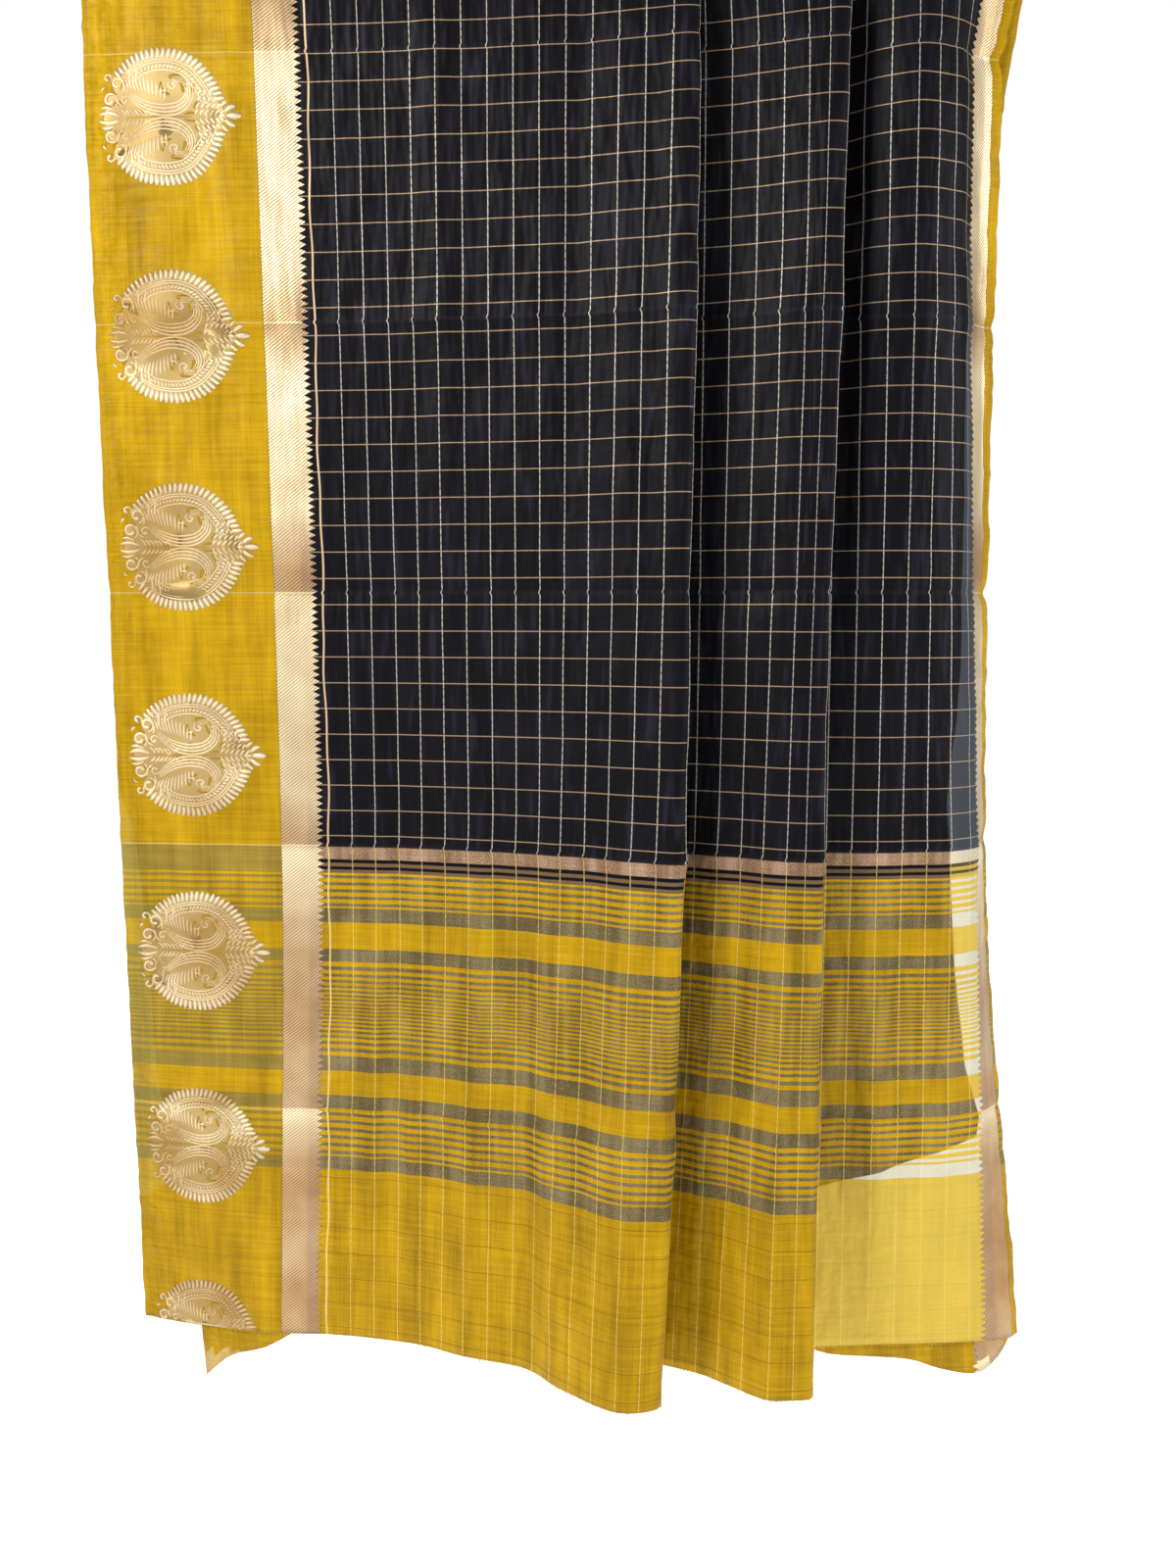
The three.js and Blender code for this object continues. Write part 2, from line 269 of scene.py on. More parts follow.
def relief(u, v, depth):
    """How far the cloth stands out from its form, in millimetres."""
    total = np.zeros_like(u)
    for place, half, height, start, end in SOFT_FOLDS:
        ramp = smooth((v - start) / 110) * smooth((end - v) / 110)
        drift = place + 5 * np.sin(v / 170 + place)
        total += height * bump(u, drift, half) * ramp
    for height, ridge in STORAGE_CREASES:
        at = height + 0.9 * np.sin(u / 37 + height)
        strength = 0.75 + 0.25 * np.sin(u / 90 + height * 0.7)
        total += ridge * strength * np.exp(-np.abs(v - at) / 16)
    total += 0.8 * wave_noise(u, v, 3, 120) + 0.35 * wave_noise(u, v * 0.4, 5, 34, 2)
    border = smooth((150 - u) / 20) + 0.5 * smooth((u - 1120) / 12)
    selvedge = smooth((34 - u) / 30)
    total += border * 0.6 * wave_noise(u, v, 8, 46) + selvedge * 0.8 * wave_noise(u, v, 12, 26, 2)
    fade = smooth((depth - 12) / 220)
    return total * (0.08 + 0.92 * fade)


def edge_drift(u, v, depth):
    """Sideways unevenness of the two selvedges, in millimetres."""
    left = smooth((60 - u) / 60)
    right = smooth((u - 1120) / 50)
    fade = smooth((depth - 12) / 150)
    ripple = 0.45 * wave_noise(v * 0.3, v, 17, 60) + 0.5 * wave_noise(v * 0.2, v, 21, 24, 2)
    pinch = np.zeros_like(u)
    for height, _ in STORAGE_CREASES:
        pinch += 3.0 * np.exp(-((v - height) / 8) ** 2)
    return fade * (left * (ripple * 1.2 + pinch * 0.25) + right * (ripple * 1.9 - pinch * 1.1))


def grid_normals(points):
    du = np.gradient(points, axis=1)
    dv = np.gradient(points, axis=0)
    normal = np.cross(du, dv)
    return normal / np.maximum(np.linalg.norm(normal, axis=-1, keepdims=True), 1e-9)


def make_stretch(stations, places, inner):
    """The middle surface of a stretch: points, and their places across and along the cloth."""
    rows = []
    us = []
    for side, depth, angle, gap, along in stations:
        row = inner_places(places, depth) if inner and side < 0 else places
        rows.append(line_across((side, depth, angle, gap), row))
        us.append(row)
    u, v = np.meshgrid(places, [station[4] for station in stations])
    deep = np.meshgrid(places, [station[1] for station in stations])[1]
    return np.array(rows), u, v, deep, np.array(us)


def uneven(points, u, v, deep):
    """Adds relief along the outward normal, with both layers sharing one pattern."""
    normal = grid_normals(points)
    moved = points + normal * relief(u, v, deep)[..., None]
    moved[..., 0] += edge_drift(u, v, deep)
    return moved


def build_shell(name, points, u, v, values):
    """A closed thin sheet round the middle surface."""
    normal = grid_normals(points)
    along, across = points.shape[:2]
    half = normal * HALF_WALL
    skins = np.concatenate([points + half, points - half]).reshape(-1, 3) * 0.001
    size = along * across
    index = np.arange(size).reshape(along, across)
    a = index[:-1, :-1]
    b = index[:-1, 1:]
    c = index[1:, 1:]
    d = index[1:, :-1]
    front = np.stack([a, b, c, d], axis=-1).reshape(-1, 4)
    back = np.stack([a, d, c, b], axis=-1).reshape(-1, 4) + size
    sheets = [front, back]
    for edge in (index[0, ::-1], index[-1], index[:, 0], index[::-1, -1]):
        sheets.append(np.stack([edge[:-1], edge[1:], edge[1:] + size, edge[:-1] + size], axis=-1))
    quads = np.concatenate(sheets)
    uv = np.stack([u, v], axis=-1).reshape(-1, 2) * 0.001
    uv = np.concatenate([uv, uv])
    values = {key: np.tile(numbers.ravel(), 2) for key, numbers in values.items()}
    return make_mesh(name, skins, quads, uv, values)


def add_object(name, data):
    """Puts a new object into the scene."""
    obj = bpy.data.objects.new(name, data)
    bpy.context.scene.collection.objects.link(obj)
    return obj


def make_mesh(name, points, quads, uv, values):
    """A mesh object with its places on the cloth and numbers for its material."""
    mesh = bpy.data.meshes.new(name)
    mesh.vertices.add(len(points))
    mesh.vertices.foreach_set("co", np.asarray(points, dtype=np.float32).ravel())
    sides = quads.shape[1]
    mesh.loops.add(quads.size)
    mesh.loops.foreach_set("vertex_index", quads.astype(np.int32).ravel())
    mesh.polygons.add(len(quads))
    mesh.polygons.foreach_set("loop_start", np.arange(0, quads.size, sides, dtype=np.int32))
    mesh.polygons.foreach_set("loop_total", np.full(len(quads), sides, dtype=np.int32))
    mesh.polygons.foreach_set("use_smooth", np.full(len(quads), True))
    mesh.update(calc_edges=True)
    layer = mesh.uv_layers.new(name="Cloth")
    layer.data.foreach_set("uv", uv[quads.ravel()].astype(np.float32).ravel())
    for key, numbers in values.items():
        layer = mesh.attributes.new(name=key, type="FLOAT", domain="POINT")
        layer.data.foreach_set("value", np.asarray(numbers, dtype=np.float32).ravel())
    mesh.validate()
    return add_object(name, mesh)


def with_creases(end, step, creases):
    """Depths down a fall at an even step, with extra ones at each pressed line."""
    depths = list(np.linspace(0, end, int(round(end / step)) + 1))
    for crease in creases:
        depths = [d for d in depths if abs(d - crease) > 4.4]
        depths += [crease - 2.6, crease, crease + 2.6]
    return np.array(sorted(depths))


def layer_gap(inner, depth):
    """How far a layer lies inside the outer one."""
    return float(by_depth(INNER_GAP, depth)) if inner else 0.0


def front_stations(inner, step):
    """Stations up the front fall and on to the top of the rod."""
    creases = [FRONT_FALL - row[0] for row in STORAGE_CREASES if row[0] < FRONT_FALL - 20]
    stations = []
    for depth in with_creases(FRONT_FALL, step, creases)[::-1]:
        stations.append((-1, float(depth), 0.0, layer_gap(inner, depth), FRONT_FALL - depth))
    for angle in np.linspace(0, math.pi / 2, 11)[1:]:
        along = FRONT_FALL + OVER_ROD * angle / math.pi
        stations.append((-1, 0.0, float(angle), layer_gap(inner, 0), along))
    return stations


def back_stations(inner, step):
    """Stations from the top of the rod down the back fall, and round its lower turn."""
    stations = []
    for angle in np.linspace(math.pi / 2, 0, 11):
        along = FRONT_FALL + OVER_ROD * (1 - angle / math.pi)
        stations.append((1, 0.0, float(angle), layer_gap(inner, 0), along))
    fold_gap = float(by_depth(INNER_GAP, BACK_FALL * BACK_OPENING))
    end = BACK_FALL - fold_gap / 2
    creases = [row[0] - FRONT_FALL - OVER_ROD for row in STORAGE_CREASES if row[0] > FRONT_FALL + 80]
    for depth in with_creases(end, step, creases)[1:]:
        gap = layer_gap(inner, depth * BACK_OPENING)
        stations.append((1, float(depth), 0.0, gap, FRONT_FALL + OVER_ROD + depth))
    if inner:
        radius = fold_gap / 2
        for turn in np.linspace(math.pi, 0, 9)[1:]:
            depth = end + radius * math.sin(turn)
            gap = radius - radius * math.cos(turn)
            stations.append((1, depth, 0.0, gap, FRONT_FALL + OVER_ROD + depth))
    return stations


def draw_up(stretch):
    """Moves the inner front end up or down to its uneven line."""
    points, u, v, deep, sigma = stretch
    at = INNER_END[:, 0]
    fall = INNER_END[:, 1]
    end = curve(at, fall, slopes(at, fall), u[0])
    near = smooth((deep - 1100) / (FRONT_FALL - 1100))
    change = (end[None, :] - FRONT_FALL) * near
    points[..., 2] -= change
    return points, u, v - change, deep, sigma


PLACES = places_across()
COARSE_PLACES = PLACES[::2] if len(PLACES) % 2 else np.append(PLACES[::2], WIDTH)
fine_step = 7.4
coarse_step = 10.0

stretches = {
    "saree_front": make_stretch(front_stations(False, fine_step), PLACES, False),
    "saree_back": make_stretch(back_stations(False, fine_step * 1.1), PLACES, False),
    "saree_inner_front": draw_up(make_stretch(front_stations(True, coarse_step), COARSE_PLACES, True)),
    "saree_inner_back": make_stretch(back_stations(True, coarse_step), COARSE_PLACES, True),
}

# Which fold of the stored cloth a place belongs to, counted up from the hem.
FOLD_COUNT = (
    [-20, 229, 488, 725, 966, 1197, 1440, 1690, 1932, 2174, 2416, 2620, 2860],
    list(range(13)),
)

# Painted highlights of the metal weave, standing in for light on the stored folds: height above
# the hem, and brightness from 0 to 1. It changes sharply at each pressed line.
PAINTED_FOLD_HIGHLIGHTS = np.array([
    (-20, 0.10), (60, 0.13), (180, 0.15), (205, 0.45), (226, 0.92), (231, 0.20), (330, 0.16),
    (372, 0.22), (405, 0.42), (450, 0.78), (484, 0.98), (489, 0.22), (506, 0.30), (530, 0.58),
    (600, 0.72), (690, 0.80), (721, 0.60), (727, 0.12), (765, 0.22), (800, 0.74), (860, 0.92),
    (925, 0.86), (950, 0.36), (964, 0.20), (968, 0.10), (985, 0.42), (1040, 0.78), (1180, 0.84),
    (1195, 0.92), (1200, 0.28), (1300, 0.60), (1440, 0.55), (1687, 0.80), (1692, 0.25),
    (1929, 0.85), (1935, 0.20), (2170, 0.75), (2177, 0.20), (2412, 0.85), (2419, 0.25),
    (2617, 0.80), (2624, 0.20), (2860, 0.40),
], dtype=float)

# Height above the hem, and the place across where the layer beneath ends and one sheer layer is left.
SINGLE_RIGHT = np.array([
    (0, 952), (150, 956), (166, 962), (172, 1008), (184, 1036), (196, 1078), (207, 1116), (225, 1118),
    (277, 1102), (370, 1089), (431, 1085), (531, 1078), (600, 1088), (658, 1095), (905, 1101),
    (1000, 1112), (1100, 1130), (2000, 1300),
], dtype=float)
SINGLE_LEFT = np.array([
    (0, -20), (120, -10), (150, 40), (260, 27), (440, 19), (500, 14), (600, -20), (2000, -40),
], dtype=float)


def read_off(table, v):
    """The second column of a table, at places along its first."""
    return np.interp(v, table[:, 0], table[:, 1])


shells = {}
surfaces = {}
for name, (points, u, v, deep, sigma) in stretches.items():
    moved = uneven(points, sigma, v, deep)
    surfaces[name] = (moved, u, v)
    shown_v = BOTH_LAYERS - v if "inner" in name else v
    pressed = np.interp(v, *FOLD_COUNT)
    if name == "saree_front":
        # Where one sheer layer is left, the cloth gets painted light showing through.
        single = np.maximum(u - read_off(SINGLE_RIGHT, v), read_off(SINGLE_LEFT, v) - u)
    else:
        single = np.full_like(u, -50.0)
    shells[name] = build_shell(name, moved, u, shown_v, {
        "pressed": pressed, "single": single, "painted_fold_highlight": read_off(PAINTED_FOLD_HIGHLIGHTS, v)})


def spline(points, count):
    """A smooth curve through the points."""
    points = np.array(points, dtype=float)
    at = np.concatenate([[0], np.cumsum(np.linalg.norm(np.diff(points, axis=0), axis=1))])
    tangent = np.gradient(points, at, axis=0)
    return curve(at, points, tangent, np.linspace(0, at[-1], count))


def directions(line):
    """Unit directions along a line, and to its left."""
    step = np.gradient(line, axis=0)
    step /= np.maximum(np.linalg.norm(step, axis=1, keepdims=True), 1e-9)
    return step, np.stack([-step[:, 1], step[:, 0]], axis=1)


def beside(line, distance):
    """The line moved to its left by a distance."""
    return line + directions(line)[1] * distance


def along_line(line, spacing, start=0.0):
    """Points and directions at an even spacing along a line."""
    at = np.concatenate([[0], np.cumsum(np.linalg.norm(np.diff(line, axis=0), axis=1))])
    places = np.arange(start, at[-1], spacing)

    def spots_at(places):
        return np.stack([np.interp(places, at, line[:, k]) for k in range(2)], axis=1)

    way = spots_at(places + 0.5) - spots_at(places - 0.5)
    return spots_at(places), way / np.maximum(np.linalg.norm(way, axis=1, keepdims=True), 1e-9)


def leaf(start, end, width, bend=0.0, count=6):
    """A stroke that is widest in the middle and rounded at its ends."""
    start = np.array(start, dtype=float)
    end = np.array(end, dtype=float)
    t = np.linspace(0, 1, count)[:, None]
    side = np.array([-(end - start)[1], (end - start)[0]])
    line = start + (end - start) * t + side * bend * np.sin(t * math.pi)
    t = t[:, 0]
    wide = width * np.sqrt(np.maximum(np.sin(np.clip(t * 0.9 + 0.05, 0, 1) * math.pi), 0.02))
    return line, wide


def curl(centre, radius, turn, turns, width, count=16):
    """A scroll that winds in to its centre."""
    t = np.linspace(0, 1, count)
    angle = np.radians(turn) + t * turns * 2 * math.pi
    reach = radius * (1 - 0.72 * t)
    line = np.stack([centre[0] + reach * np.cos(angle), centre[1] + reach * np.sin(angle)], axis=1)
    return line, width * (0.55 + 0.75 * t)


def medallion_strokes():
    """A woven roundel in its own millimetres: a petalled rim, two mirrored birds, scrolls and a bud.

    Gives the outline of its ground, the gold strokes, and the gaps where the silk shows.
    """
    upper = []
    rim = spline([
        (-43, 38), (-35, 46), (-24, 53), (-10, 57), (5, 58),
        (19, 55), (31, 48), (40, 38), (47, 27), (52, 15),
    ], 60)
    base = beside(rim, -8.8)
    spots, _ = along_line(rim, 5.0, 1.5)
    roots, _ = along_line(base, 5.0 * 0.835, 1.3)
    for spot, root in zip(spots, roots):
        upper.append(leaf(root, spot + (spot - root) * 0.08, 4.9, 0.0, 5))
    for distance, width in ((-9.8, 1.7), (-12.0, 1.7), (-18.6, 1.7)):
        line = beside(rim, distance)[3:-1]
        upper.append((line, np.full(len(line), width)))
    spots, ways = along_line(beside(rim, -15.3)[5:], 3.3, 0.5)
    for spot, way in zip(spots, ways):
        side = np.array([-way[1], way[0]])
        upper.append(leaf(spot - way * 1.3 - side * 1.7, spot + way * 1.3 + side * 1.7, 3.0, 0.0, 4))

    body = spline([
        (-30, 20), (-21, 12.5), (-9, 7.0), (4, 5.6), (15, 8.5),
        (22, 16), (22.5, 25), (17, 31.5), (9, 31),
    ], 44)
    swell = np.interp(np.linspace(0, 1, 44), [0, 0.25, 0.5, 0.75, 1], [0.5, 1.15, 1.35, 0.9, 0.5])
    step, side = directions(body)
    for lane in (-1.5, -0.5, 0.5, 1.5):
        upper.append((body + side * (swell * lane * 2.4)[:, None], swell * 1.75))
    for k in range(3, 40, 3):
        reach = swell[k] * 4.2
        slant = side[k] * reach + step[k] * 1.6
        upper.append(leaf(body[k] - slant, body[k] + slant, 0.9, 0.0, 4))
    upper.append(curl((9.0, 26.5), 4.4, 120, 0.95, 2.3, 12))
    upper.append(leaf((8.8, 26.2), (9.4, 26.8), 2.4, 0.0, 3))
    upper.append(leaf((4.5, 24.0), (-2.0, 21.5), 2.6, 0.12, 5))
    for k in range(11):
        t = k / 10
        root = np.array([-29 + 31 * t, 24 - 10.0 * t])
        length = 9.5 + 6.5 * math.sin(t * math.pi)
        tip = root + length * np.array([math.cos(1.95 - 0.5 * t), math.sin(1.95 - 0.5 * t)])
        upper.append(leaf(root, tip, 2.7, 0.05, 5))
    for k in range(7):
        root = np.array([-33.0 + 3.9 * k, 1.4])
        upper.append(leaf(root, root + np.array([-4.6, 5.4 - 0.25 * k]), 2.7, -0.12, 4))
    leaf_rows = ((27.0, 6, 1.3), (28.5, 5, 6.6), (30.0, 4, 12.2), (31.0, 3, 18.0))
    for row, (first, count, low) in enumerate(leaf_rows):
        for k in range(count):
            root = np.array([first + 4.3 * k, low - 0.3 * k])
            upper.append(leaf(root, root + np.array([4.2 - 0.4 * row, 5.2]), 2.9, 0.15, 4))
    upper += [curl(*scroll) for scroll in (
        ((-47.0, 15.0), 7.4, -60, 1.15, 3.4, 18),
        ((-40.0, 28.5), 6.8, -80, 1.10, 3.3, 16),
        ((-48.5, 33.5), 4.4, -40, 0.9, 2.8, 12),
        ((-33.5, 14.5), 4.2, 30, 0.9, 2.4, 12),
    )]
    upper += [leaf(*stroke) for stroke in (
        ((-35, 9), (-41, 20), 2.8, 0.18, 5),
        ((-34, 20), (-37, 35), 3.0, -0.12, 6),
        ((-30, 27), (-30, 42), 3.0, -0.10, 6),
        ((-25, 29), (-22, 44), 2.8, -0.10, 6),
        ((-57.5, 2.6), (-38.5, 1.5), 4.6, 0.12, 6),
        ((-55.5, 8.0), (-43.5, 6.0), 3.4, 0.15, 5),
        ((-54.5, 22.5), (-51.0, 26.5), 2.6, 0.15, 4),
        ((52.5, 3.4), (61.0, 8.6), 5.4, 0.10, 6),
        ((48.5, 7.6), (54.5, 13.2), 4.0, 0.0, 4),
    )]

    holes = [
        leaf((6, 34.0), (18, 20.5), 6.0, 0.34, 8), leaf((-1, 29.5), (6, 18.5), 3.6, -0.25, 6),
        leaf((-23, 4.2), (-7, 1.9), 1.9, 0.08, 6), leaf((18, 2.0), (28, 2.8), 2.2, 0.10, 5),
        leaf((-37, 23.5), (-32, 31), 3.4, 0.0, 4), leaf((-44, 9.5), (-37, 13), 3.4, 0.15, 5),
        leaf((-50, 12), (-46, 8), 2.4, 0.0, 4), leaf((26.5, 6.6), (30, 13), 2.2, 0.1, 4),
        leaf((-42, 20.5), (-46, 24), 2.6, 0.0, 4), leaf((26, 19), (27, 27), 3.2, 0.1, 5),
    ]
    strokes = [leaf((53.5, 0), (66.0, 0), 7.0, 0.0, 7), leaf((47.0, 0), (53.0, 0), 4.0, 0.0, 4)]
    gaps = [leaf((-33, 0), (24, 0), 1.1, 0.0, 10)]
    for group, found in ((strokes, upper), (gaps, holes)):
        for line, wide in found:
            group.append((line, wide))
            group.append((line * np.array([1.0, -1.0]), wide))
    half = [(57, 0)] + [tuple(spot) for spot in beside(rim, -5.0)[::-6]]
    half += [(-46, 34), (-44, 25), (-50, 17), (-52, 8), (-54, 0)]
    outline = np.array(half + [(x, -y) for x, y in half[-2:0:-1]], dtype=float)
    return outline, strokes, gaps


class Surface:
    """Finds points and directions on a finished stretch from places on the cloth."""

    def __init__(self, points, u, v):
        self.points = points
        self.normals = grid_normals(points)
        self.across = u[0]
        self.along = v[:, 0]

    def at(self, u, v):
        i = np.clip(np.searchsorted(self.across, u) - 1, 0, len(self.across) - 2)
        j = np.clip(np.searchsorted(self.along, v) - 1, 0, len(self.along) - 2)
        s = np.clip((u - self.across[i]) / (self.across[i + 1] - self.across[i]), 0, 1)[..., None]
        t = np.clip((v - self.along[j]) / (self.along[j + 1] - self.along[j]), 0, 1)[..., None]
        found = []
        for grid in (self.points, self.normals):
            low = grid[j, i] * (1 - s) + grid[j, i + 1] * s
            high = grid[j + 1, i] * (1 - s) + grid[j + 1, i + 1] * s
            found.append(low * (1 - t) + high * t)
        return found


def make_medallions(name, surface, centres, limits):
    """Raised gold grounds and strokes that lie on the cloth, with gaps where the silk shows."""
    outline, strokes, gaps = medallion_strokes()
    points = []
    uvs = []
    quads = []
    metal = []
    total = 0

    def lay(rows, lifts, kind, closed):
        """One closed strip or plate from rows of places on the cloth."""
        nonlocal total
        ring = []
        for spot, lift in zip(rows, lifts):
            middle, normal = surface.at(spot[:, 0], spot[:, 1])
            ring.append(middle + normal * lift)
        grid = np.stack(ring, axis=1)
        count, sides = grid.shape[:2]
        points.append(grid.reshape(-1, 3))
        uvs.append(np.stack(rows, axis=1).reshape(-1, 2))
        metal.append(np.full(count * sides, kind))
        index = total + np.arange(count * sides).reshape(count, sides)
        if closed:
            index = np.concatenate([index, index[:1]])
        after = np.roll(index, -1, axis=1)
        faces = np.stack([index[:-1], index[1:], after[1:], after[:-1]], axis=-1)
        quads.append(faces.reshape(-1, 4))
        if not closed:
            quads.append(index[:1])
            quads.append(index[-1:, ::-1])
        total += count * sides

    for centre in centres:
        home = np.array([MEDALLION_PLACE, centre])
        cut = home + outline
        cut[:, 1] = np.clip(cut[:, 1], limits[0], limits[1])
        pivot = np.array([home[0], np.clip(centre, limits[0] + 0.5, limits[1] - 0.5)])
        shares = list(np.linspace(0.02, 0.98, 15)) + [1.0, 0.5]
        lifts = [0.60] * 15 + [0.35, 0.10]
        lay([pivot + (cut - pivot) * share for share in shares], lifts, 0.0, True)
        for kind, group in ((1.0, strokes), (-1.0, gaps)):
            for line, wide in group:
                place = line + home
                inside = (place[:, 1] > limits[0]) & (place[:, 1] < limits[1])
                if inside.sum() < 3:
                    continue
                place = place[inside]
                side = directions(place)[1] * (wide[inside] / 2)[:, None]
                lifts = (0.45, 1.2, 0.45, 0.10) if kind > 0 else (0.64, 1.0, 0.64, 0.10)
                lay([place - side, place, place + side, place], lifts, kind, False)
    points = np.concatenate(points) * 0.001
    uvs = np.concatenate(uvs)
    values = {"metal": np.concatenate(metal), "painted_fold_highlight": read_off(PAINTED_FOLD_HIGHLIGHTS, uvs[:, 1])}
    return make_mesh(name, points, np.concatenate(quads), uvs * 0.001, values)


medallions = {
    "medallions_front": make_medallions(
        "medallions_front", Surface(*surfaces["saree_front"]), FRONT_MEDALLIONS, (1.5, FRONT_FALL + 26)),
    "medallions_back": make_medallions(
        "medallions_back", Surface(*surfaces["saree_back"]), BACK_MEDALLIONS, (FRONT_FALL + 32, 2718)),
}


THREAD_HALF = 0.22
THREAD_SIDES = np.array([
    (0, 1, 5, 4), (1, 2, 6, 5), (2, 3, 7, 6), (3, 0, 4, 7), (3, 2, 1, 0), (4, 5, 6, 7),
])


def make_threads(name, surface, v, count, seed):
    """Short loose threads along the raw hem of the cloth."""
    rng = np.random.RandomState(seed)
    points = []
    uvs = []
    quads = []
    for k in range(count):
        u = rng.uniform(2, WIDTH - 2)
        start = np.array([[u, v], [u + 0.6, v]])
        middle, normal = surface.at(start[:, 0], start[:, 1])
        inner_point, _ = surface.at(np.array([u]), np.array([v + 12.0]))
        down = middle[0] - inner_point[0]
        down /= np.linalg.norm(down)
        across = np.cross(down, normal[0])
        length = rng.uniform(0.8, 3.4) if rng.uniform() < 0.93 else rng.uniform(3.5, 6.5)
        lean = rng.uniform(-0.7, 0.7)
        tip = middle[0] + down * length + across * lean * length * 0.6
        tip = tip + normal[0] * rng.uniform(-0.5, 0.5)
        root = middle[0] - down * 0.6
        corners = np.array([across, normal[0], -across, -normal[0]]) * THREAD_HALF
        points += [*(root + corners), *(tip + corners * 0.5)]
        uvs += [(u, max(v, 0))] * 8
        quads.append(THREAD_SIDES + k * 8)
    uvs = np.array(uvs, dtype=float) * 0.001
    return make_mesh(name, np.array(points) * 0.001, np.concatenate(quads), uvs, {})


hem_threads = make_threads(
    "hem_threads_front", Surface(*surfaces["saree_front"]), v=0.2, count=700, seed=3)


def feed(tree, socket, value):
    """Joins a value or colour to a socket, or sets the socket to a number or colour."""
    if isinstance(value, Value):
        tree.links.new(value.socket, socket)
    elif isinstance(value, tuple):
        socket.default_value = (*value, 1.0)
    elif isinstance(value, (int, float)):
        socket.default_value = value
    else:
        tree.links.new(value, socket)


class Value:
    """A number in a material's node tree, with the usual arithmetic."""

    def __init__(self, tree, socket):
        self.tree = tree
        self.socket = socket

    def math(self, operation, *others):
        node = self.tree.nodes.new("ShaderNodeMath")
        node.operation = operation
        self.tree.links.new(self.socket, node.inputs[0])
        for slot, other in enumerate(others, start=1):
            feed(self.tree, node.inputs[slot], other)
        return Value(self.tree, node.outputs[0])

    def __add__(self, other):
        return self.math("ADD", other)

    def __sub__(self, other):
        return self.math("SUBTRACT", other)

    def __mul__(self, other):
        return self.math("MULTIPLY", other)

    def __truediv__(self, other):
        return self.math("DIVIDE", other)

    def fract(self):
        return self.math("FRACT")

    def abs(self):
        return self.math("ABSOLUTE")

    def clamp(self):
        return self.math("MAXIMUM", 0.0).math("MINIMUM", 1.0)

    def invert(self):
        return (self * -1.0) + 1.0

    def over(self, edge, soft=0.5):
        """1 above the edge and 0 below it."""
        if isinstance(edge, Value):
            return ((self - edge) * (1.0 / soft) + 0.5).clamp()
        return (self * (1.0 / soft) + (0.5 - edge / soft)).clamp()

    def between(self, low, high, soft=0.5):
        """1 from low to high and 0 outside."""
        return self.over(low, soft) * self.over(high, soft).invert()

    def near(self, centre, half, soft=0.3):
        """1 within half of the centre and 0 farther off."""
        return (self - centre).abs().over(half, soft).invert()


class Paint:
    """Builds one node material."""

    def __init__(self, name):
        self.material = bpy.data.materials.new(name)
        self.material.use_nodes = True
        self.tree = self.material.node_tree
        self.shader = self.tree.nodes["Principled BSDF"]
        self.join = self.tree.links.new

    def node(self, kind, **numbers):
        """A new node with some of its inputs set to numbers."""
        node = self.tree.nodes.new("ShaderNode" + kind)
        for name, number in numbers.items():
            node.inputs[name].default_value = number
        return node

    def uv(self):
        """Places across and along the cloth, in millimetres."""
        node = self.node("UVMap")
        node.uv_map = "Cloth"
        split = self.node("SeparateXYZ")
        self.join(node.outputs[0], split.inputs[0])
        return [Value(self.tree, split.outputs[slot]) * 1000.0 for slot in (0, 1)]

    def value(self, name):
        node = self.node("Attribute")
        node.attribute_name = name
        return Value(self.tree, node.outputs["Fac"])

    def vector(self, x, y):
        node = self.node("CombineXYZ")
        self.join(x.socket, node.inputs[0])
        self.join(y.socket, node.inputs[1])
        return node.outputs[0]

    def noise(self, x, y, detail=2.0, roughness=0.5):
        node = self.node("TexNoise", Scale=1.0, Detail=detail, Roughness=roughness)
        node.noise_dimensions = "2D"
        self.join(self.vector(x, y), node.inputs["Vector"])
        return Value(self.tree, node.outputs[0])

    def mix(self, amount, low, high):
        node = self.node("Mix")
        node.data_type = "RGBA"
        for slot, value in ((0, amount), (6, low), (7, high)):
            feed(self.tree, node.inputs[slot], value)
        return node.outputs[2]

    def bump(self, height, distance, strength):
        node = self.node("Bump", Distance=distance, Strength=strength)
        self.join(height.socket, node.inputs["Height"])
        self.join(node.outputs[0], self.shader.inputs["Normal"])

    def set(self, name, value):
        feed(self.tree, self.shader.inputs[name], value)


MUSTARD = (0.405, 0.232, 0.003)
# Dark and light mustard: the silk's uneven colour, with painted shade and painted sheen.
MUSTARD_DARK = (0.205, 0.112, 0.001)
MUSTARD_LIGHT = (0.68, 0.405, 0.005)
# Shaded and bright copies of the metal weave, chosen by its painted highlight.
ZARI_DARK = (0.19, 0.09, 0.024)
ZARI_GOLD = (0.52, 0.32, 0.085)
ZARI_TAN = (0.56, 0.32, 0.14)
ZARI_LIGHT = (0.98, 0.93, 0.72)
BLACK = (0.0036, 0.0031, 0.005)
# Painted sheen on the black silk.
BLACK_SHEEN = (0.015, 0.0135, 0.023)
LINE_SILVER = (0.52, 0.47, 0.42)
LINE_GOLD = (0.4, 0.27, 0.165)
CHECK_GOLD = (0.62, 0.46, 0.28)
# Darker and brighter grey metal stripes: random specks and painted sheen.
GREY_DARK = (0.105, 0.078, 0.03)
GREY_LIGHT = (0.31, 0.24, 0.125)
PLAIN_LINE = (0.165, 0.085, 0.006)
END_LINE = (0.25, 0.14, 0.01)
BAND_BROWN = (0.15, 0.092, 0.05)
